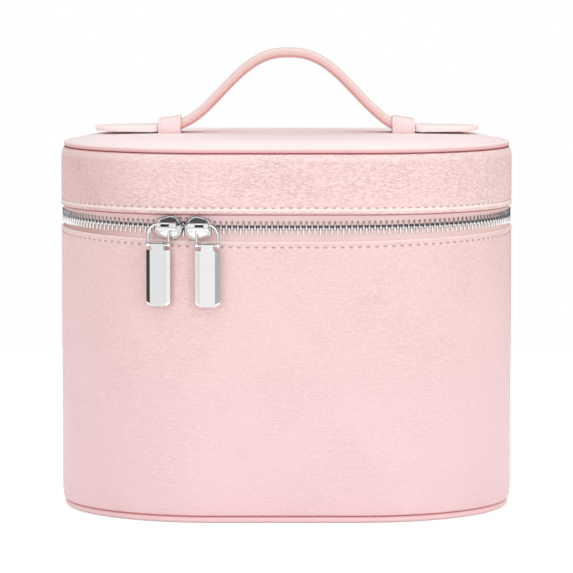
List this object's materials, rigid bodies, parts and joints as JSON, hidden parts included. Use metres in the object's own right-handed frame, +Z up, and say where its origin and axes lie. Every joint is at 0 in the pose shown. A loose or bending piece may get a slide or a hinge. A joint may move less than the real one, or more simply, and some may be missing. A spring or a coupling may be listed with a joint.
{
  "type": "vanity case",
  "caption": "Rounded zip-round makeup storage case with a padded hinged lid, a leather strap handle on top and two zipper sliders with hanging pulls.",
  "frame": {"origin": "centre of the base, on the surface that the case stands on", "axes": "+Z up towards the handle, -Y towards the front with the zipper pulls, +X to the right seen from the front, along the long side"},
  "size_m": [0.22, 0.1553, 0.2234],
  "materials": {
    "pebbled_leather": "soft satin, pebbled grain",
    "smooth_leather": "soft satin, fine grain",
    "piping_leather": "satin",
    "handle_leather": "satin, fine grain",
    "lining_fabric": "matte, fine weave",
    "zipper_tape": "matte, twill weave",
    "stiffening_board": "matte",
    "padding": "matte, open cell",
    "zipper_metal": "polished nickel",
    "bright_metal": "mirror-polished nickel"
  },
  "bodies": {
    "case": {"body_leather": "pebbled_leather", "body_board": "stiffening_board", "body_lining": "lining_fabric", "base_leather": "smooth_leather", "base_foam": "padding", "base_board": "stiffening_board", "base_lining": "lining_fabric", "base_piping": "piping_leather", "tape_lower": "zipper_tape", "teeth_lower": "zipper_metal", "stops_lower": "zipper_metal", "hinge_leather": "smooth_leather", "hinge_lining": "lining_fabric"},
    "lid": {"lid_band_leather": "pebbled_leather", "lid_band_board": "stiffening_board", "lid_band_lining": "lining_fabric", "lid_top_leather": "pebbled_leather", "lid_foam": "padding", "lid_top_board": "stiffening_board", "lid_top_lining": "lining_fabric", "lid_piping": "piping_leather", "tape_upper": "zipper_tape", "teeth_upper": "zipper_metal", "stops_upper": "zipper_metal", "keeper_left": "smooth_leather", "keeper_right": "smooth_leather"},
    "slider_left": {"slider_left": "bright_metal"},
    "slider_right": {"slider_right": "bright_metal"},
    "ring_left": {"ring_left": "bright_metal"},
    "ring_right": {"ring_right": "bright_metal"},
    "pull_left": {"pull_left": "bright_metal"},
    "pull_right": {"pull_right": "bright_metal"},
    "handle": {"handle_arch": "handle_leather", "handle_filler": "padding"},
    "strap_left": {"strap_end_left": "handle_leather"},
    "strap_right": {"strap_end_right": "handle_leather"}
  },
  "joints": [
    {"name": "lid_hinge", "type": "hinge", "parent": "case", "child": "lid", "pos_m": [0, 0.0737, 0.1405], "axis": [-1, 0, 0], "range_deg": [0, 105], "deforming": ["hinge_leather", "hinge_lining", "tape_lower", "tape_upper"]},
    {"name": "slider_left_run", "type": "hinge", "parent": "case", "child": "slider_left", "pos_m": [-0.035, 0, 0.1405], "axis": [0, 0, -1], "range_deg": [0, 130], "deforming": ["teeth_lower", "teeth_upper"]},
    {"name": "slider_right_run", "type": "slide", "parent": "case", "child": "slider_right", "axis": [1, 0, 0], "range_m": [0, 0.069]},
    {"name": "ring_left_swing", "type": "hinge", "parent": "slider_left", "child": "ring_left", "pos_m": [-0.06056, -0.0738, 0.1372], "axis": [0.2686, 0.9632, 0], "range_deg": [-8, 95]},
    {"name": "pull_left_flip", "type": "hinge", "parent": "ring_left", "child": "pull_left", "pos_m": [-0.06056, -0.0738, 0.13235], "axis": [-0.9632, 0.2686, 0], "range_deg": [0, 110]},
    {"name": "ring_right_swing", "type": "hinge", "parent": "slider_right", "child": "ring_right", "pos_m": [-0.03728, -0.07806, 0.1372], "axis": [-0.0905, -0.9959, 0], "range_deg": [-8, 95]},
    {"name": "pull_right_flip", "type": "hinge", "parent": "ring_right", "child": "pull_right", "pos_m": [-0.03728, -0.07806, 0.13235], "axis": [-0.9959, 0.0905, 0], "range_deg": [0, 110]},
    {"name": "handle_press", "type": "slide", "parent": "lid", "child": "handle", "axis": [0, 0, -1], "range_m": [0, 0.014], "deforming": ["handle_arch", "handle_filler"]},
    {"name": "strap_left_slide", "type": "slide", "parent": "lid", "child": "strap_left", "axis": [-1, 0, 0], "range_m": [0, 0.0098]},
    {"name": "strap_right_slide", "type": "slide", "parent": "lid", "child": "strap_right", "axis": [1, 0, 0], "range_m": [0, 0.0098]}
  ],
  "couplings": [
    {"joint": "strap_left_slide", "follows": "handle_press", "ratio": 0.7},
    {"joint": "strap_right_slide", "follows": "handle_press", "ratio": 0.7}
  ]
}
